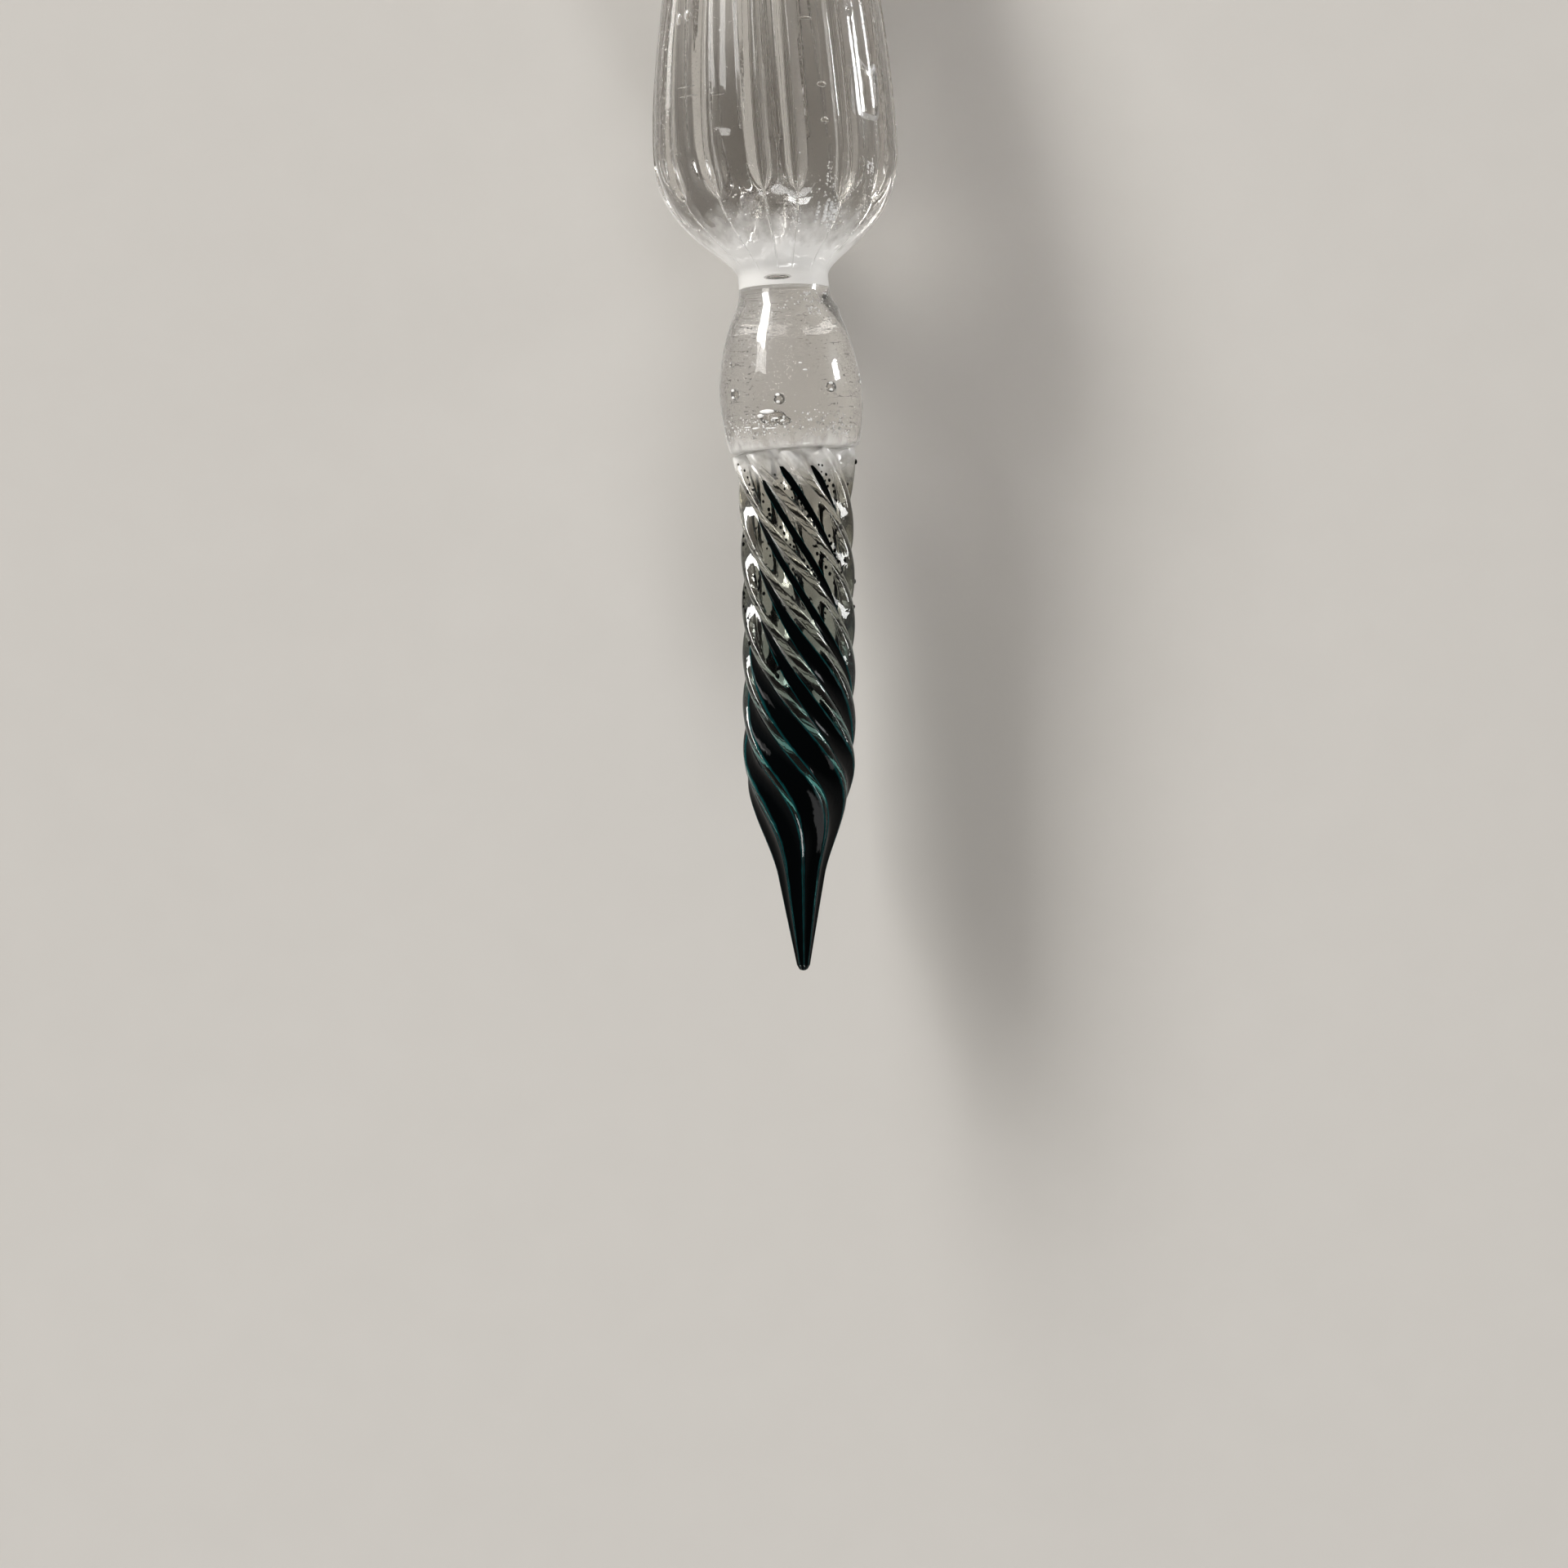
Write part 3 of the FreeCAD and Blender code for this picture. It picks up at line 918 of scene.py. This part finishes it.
def make_tail():
    turns = np.arange(0, 360, 5.0)
    waist_top = STEM_TOP + WAIST_HEIGHT
    ball_centre = waist_top + math.sqrt(BALL_RADIUS**2 - WAIST_RADIUS**2)
    rings = []
    for z in np.linspace(STEM_TOP - FUSED, waist_top, 12):
        radius = STEM_RADIUS - (STEM_RADIUS - WAIST_RADIUS) * ease((z - STEM_TOP) / WAIST_HEIGHT)
        rings.append(polar(radius, turns, z))
    ball_radius = BALL_RADIUS - FUSED
    start = math.asin((waist_top - ball_centre) / BALL_RADIUS)
    for angle in np.linspace(start, math.radians(87), 26)[1:]:
        z = ball_centre + ball_radius * math.sin(angle)
        rings.append(polar(ball_radius * math.cos(angle), turns, z))
    shape = Shape()
    shape.add_rings(capped(np.array(rings), high=False), fused_low=CAP_ROWS)
    shape.add_bubble((0.3, UP_SIDE, ball_centre + 0.4), (0.5, 0.45, 0.6))
    shape.make("tail_glass", clear_glass, "clear_glass", "tail_bead")


# Ink


# Where the grooves stop being full, over how much they thin to threads, and where ink wets the ridges too
INK_FULL_TO = 12.8
INK_THINS_OVER = 12.5
INK_WETS_TO = 7.0
INK_DRIES_OVER = 9.0

# How far a strand sags between the ridges, as a share of its groove, and the film that wets the glass
INK_SAG = 0.28
INK_FILM = 0.014

# Rows of beads of ink beside the strands and stray beads, and how a bead is lifted and drawn along the pen
DROPLET_ROWS = 34
STRAY_DROPLETS = 90
DROPLET_LIFT = 0.7
DROPLET_LENGTH = 1.3


def ink_fill(z, groove):
    """How full a groove is at height z: 1 where it is full, more where it wets the ridges."""
    wave = math.sin(1.9 * groove + 0.55 * z) * math.sin(0.8 * groove - 0.23 * z)
    filling = 1 - 0.88 * ease((z - INK_FULL_TO - 1.6 * math.sin(2.3 * groove)) / INK_THINS_OVER)
    over = 0.75 * (1 - ease((z - INK_WETS_TO) / INK_DRIES_OVER))
    return float(np.clip(filling * (0.95 + 0.16 * wave) + over, 0.035, 1.8))


def ink_section(z, groove, fill):
    """A strand of ink across a groove: its turns, the radii of its skin and its back, and how thin it is."""
    middle = nib_turn(z) + NIB_PITCH * (groove + 0.5)
    if fill < 1:
        reach = math.sqrt(fill) * GROOVE_HALF
        inner = 0.94 * reach
    else:
        reach = GROOVE_HALF + (fill - 1) * RIDGE_HALF
        inner = GROOVE_HALF
    left = np.linspace(-reach, -inner, 3)[:-1]
    right = np.linspace(inner, reach, 3)[1:]
    turns = middle + np.concatenate([left, np.linspace(-inner, inner, 13), right])
    share = (turns - middle) / reach
    glass = nib_surface(turns, z)
    bank = float(nib_surface(np.array(middle + inner), z))
    floor = float(nib_surface(np.array(middle), z))
    sag = INK_SAG * np.minimum(np.abs(turns - middle) / inner, 1) ** 2
    level = floor + (bank - floor) * (1 - INK_SAG + sag)
    film = INK_FILM * (1 - share**6)
    return turns, np.maximum(level, glass + film), glass - FUSED, np.abs(share) ** 3


def set_thinness(piece, values):
    """Tells the ink's material how thin the ink is at each point."""
    layer = piece.data.attributes.new("thin", "FLOAT", "POINT")
    layer.data.foreach_set("value", np.array(values, np.float32))


def make_ink():
    """One strand of ink in each groove. Its surface sags between the ridges, and its back wets the glass."""
    shape = Shape()
    thin_values = []
    for groove in range(GROOVES):
        end = NIB_TOP - 0.7 - 1.1 * (0.5 + 0.5 * math.sin(4.1 * groove))
        rings = []
        for z in np.concatenate([[0.05, 0.1, 0.17, 0.26, 0.4, 0.6], np.arange(0.8, end, 0.2)]):
            fill = ink_fill(z, groove) * min(1, (end - z) / 0.8 + 0.05)
            turns, skin, back, thin = ink_section(z, groove, fill)
            rings.append(np.concatenate([polar(skin, turns, z), polar(back, turns, z)[::-1]]))
            thin_values += [*thin, *thin[::-1]]
        shape.add_rings(np.array(rings))
        thin_values += [0.5, 1.0]
    piece = shape.make("nib_ink", ink, "inked_glass")
    set_thinness(piece, thin_values)


def droplet_places():
    """Where the beads of ink cling, as (height, turn, size): in rows beside the strands, and at random."""
    places = []
    for _ in range(DROPLET_ROWS):
        groove = chance.randrange(GROOVES)
        z = chance.uniform(21.0, 32.0)
        beside = chance.choice((-1, 1)) * chance.uniform(0.4, 0.9) * GROOVE_HALF
        largest = chance.uniform(0.09, 0.15)
        for _ in range(chance.randint(4, 9)):
            z += chance.uniform(0.3, 0.6)
            if z < NIB_TOP - 0.8:
                turn = float(nib_turn(z)) + NIB_PITCH * (groove + 0.5) + beside + chance.uniform(-1.2, 1.2)
                places.append((z, turn, chance.uniform(0.6, 1.0) * largest))
    for _ in range(STRAY_DROPLETS):
        places.append((chance.uniform(19.0, 33.2), chance.uniform(0, 360), chance.uniform(0.06, 0.16)))
    return places


def make_droplets():
    """Small beads of ink that cling to the glass above the strands."""
    shape = Shape()
    longitudes = np.radians(np.arange(0, 360, 45))
    for z, turn, size in droplet_places():
        radius = float(nib_surface(np.array(turn), np.array(z)))
        out, around, up = directions(turn)
        middle = out * radius + up * z
        rings = []
        for lat in (-70, -35, 0, 35, 70):
            flat = math.cos(math.radians(lat))
            lift = out * math.sin(math.radians(lat)) * size * DROPLET_LIFT
            wide = around * size * flat
            tall = up * size * DROPLET_LENGTH * flat
            rings.append([middle + wide * math.cos(b) + tall * math.sin(b) + lift for b in longitudes])
        shape.add_rings(np.array(rings))
    piece = shape.make("ink_droplets", ink, "inked_glass")
    set_thinness(piece, [0.0] * len(piece.data.vertices))


make_nib()
make_knop()
make_grip()
make_stem()
make_tail()
make_ink()
make_droplets()


# Floor, world, lamps

PALE = (0.60, 0.585, 0.56)
DIM = (0.15, 0.13, 0.11)
FLOOR_HALF = 6.0
FLOOR_FADE = (0.22, 1.0)


def seen_directly(n):
    """1 for what the camera sees, also in and through glass, and 0 for light on its way to the object."""
    path = n.add("ShaderNodeLightPath").outputs
    either = n.maths("MAXIMUM", path["Is Camera Ray"], path["Is Glossy Ray"])
    return n.maths("MAXIMUM", either, path["Is Transmission Ray"])


def make_floor():
    """A pale sheet. Away from the pen and its shadow it turns into the even backdrop."""
    n = Nodes("pale_floor")
    place = n.add("ShaderNodeTexCoord").outputs["Object"]
    tone = n.steps(n.noise(place, 250.0), 0.3, 0.7, -0.004, 0.004)
    colour = n.add("ShaderNodeVectorMath", {0: PALE, 1: tone}, operation="ADD").outputs[0]
    matt = {"Base Color": colour, "Roughness": 0.9, "Specular IOR Level": 0.1}
    sheet = n.add("ShaderNodeBsdfPrincipled", matt)
    backdrop = n.add("ShaderNodeEmission", {"Color": (*PALE, 1), "Strength": 1.0})
    distance = n.add("ShaderNodeVectorMath", {0: place}, operation="LENGTH").outputs["Value"]
    reach = {"Value": distance, "From Min": FLOOR_FADE[0], "From Max": FLOOR_FADE[1]}
    far = n.add("ShaderNodeMapRange", reach, interpolation_type="SMOOTHSTEP")
    share = n.maths("MULTIPLY", far.outputs["Result"], seen_directly(n))
    shader = n.add("ShaderNodeMixShader", {0: share, 1: sheet.outputs[0], 2: backdrop.outputs[0]})
    mesh = bpy.data.meshes.new("floor")
    corners = [(x * FLOOR_HALF, y * FLOOR_HALF, 0) for x, y in ((-1, -1), (1, -1), (1, 1), (-1, 1))]
    mesh.from_pydata(corners, [], [(0, 1, 2, 3)])
    floor = bpy.data.objects.new("floor", mesh)
    bpy.context.scene.collection.objects.link(floor)
    mesh.materials.append(n.finish(shader))


def make_world():
    """The pale backdrop up to a little above the horizon, and a dim warm grey overhead."""
    world = bpy.data.worlds.new("studio")
    bpy.context.scene.world = world
    world.use_nodes = True
    tree = world.node_tree
    tree.nodes.clear()
    where = tree.nodes.new("ShaderNodeTexCoord")
    split = tree.nodes.new("ShaderNodeSeparateXYZ")
    ramp = tree.nodes.new("ShaderNodeValToRGB")
    glow = tree.nodes.new("ShaderNodeBackground")
    out = tree.nodes.new("ShaderNodeOutputWorld")
    tree.links.new(where.outputs["Generated"], split.inputs[0])
    tree.links.new(split.outputs["Z"], ramp.inputs[0])
    tree.links.new(ramp.outputs[0], glow.inputs[0])
    tree.links.new(glow.outputs[0], out.inputs[0])
    ramp.color_ramp.elements[0].position = 0.16
    ramp.color_ramp.elements[0].color = (*PALE, 1)
    ramp.color_ramp.elements[1].position = 0.5
    ramp.color_ramp.elements[1].color = (*DIM, 1)


def add_strip(name, lean, distance, start, stop, width, radiance, colour):
    """A strip light along the pen.

    lean is its angle from overhead towards the right, and start and stop are its reach in Y.
    """
    angle = math.radians(lean)
    away = Vector((math.sin(angle), 0, math.cos(angle)))
    along = Vector((0, 1, 0))
    data = bpy.data.lights.new(name, "AREA")
    data.shape = "RECTANGLE"
    data.size = stop - start
    data.size_y = width
    data.energy = radiance * math.pi * (stop - start) * width
    data.color = colour
    lamp = bpy.data.objects.new(name, data)
    axes = Matrix([along, away.cross(along), away]).transposed()
    place = away * distance + along * (start + stop) / 2
    lamp.matrix_world = Matrix.Translation(place) @ axes.to_4x4()
    lamp.visible_camera = False
    bpy.context.scene.collection.objects.link(lamp)


make_floor()
make_world()
add_strip("key_softbox", -55, 0.9, 0.5, 2.4, 0.3, 26.0, (1.0, 0.985, 0.96))
add_strip("key_foot", -51, 0.9, 0.27, 0.5, 0.3, 7.0, (1.0, 0.985, 0.96))
add_strip("right_strip", 85, 1.1, 0.23, 0.42, 0.3, 26.0, (0.97, 0.985, 1.0))
add_strip("front_softbox", 30, 0.75, -1.25, -0.95, 0.35, 16.0, (1.0, 1.0, 1.0))
add_strip("point_softbox", 8, 0.75, -0.95, -0.7, 0.7, 8.0, (1.0, 1.0, 1.0))


# Camera: over the pen, leaning about 2.7 degrees towards its tip. Sizes are in millimetres.

CAMERA_DISTANCE = 194.0
CAMERA_HEIGHT = 21.3
FRAME_MIDDLE = (-1.04, 12.28)
FRAME_HEIGHT = 102.5
CAMERA_ROLL = -1.907


def make_camera():
    data = bpy.data.cameras.new("camera")
    camera = bpy.data.objects.new("camera", data)
    place = np.array([FRAME_MIDDLE[0], -CAMERA_DISTANCE, CAMERA_HEIGHT])
    aim = np.array([FRAME_MIDDLE[0], 0.0, FRAME_MIDDLE[1]])
    eye, target = Vector(to_row(place)), Vector(to_row(aim))
    back = (eye - target).normalized()
    right = ALONG.cross(back).normalized()
    up = back.cross(right)
    turn = Matrix.Rotation(math.radians(CAMERA_ROLL), 3, back)
    axes = Matrix([turn @ right, turn @ up, back]).transposed()
    camera.matrix_world = Matrix.Translation(eye) @ axes.to_4x4()
    data.sensor_fit = "VERTICAL"
    distance = math.hypot(CAMERA_DISTANCE, CAMERA_HEIGHT - FRAME_MIDDLE[1])
    data.angle = 2 * math.atan(FRAME_HEIGHT / 2 / distance)
    data.clip_start = 0.005
    bpy.context.scene.collection.objects.link(camera)
    bpy.context.scene.camera = camera


make_camera()
bpy.context.scene.view_settings.view_transform = "Standard"
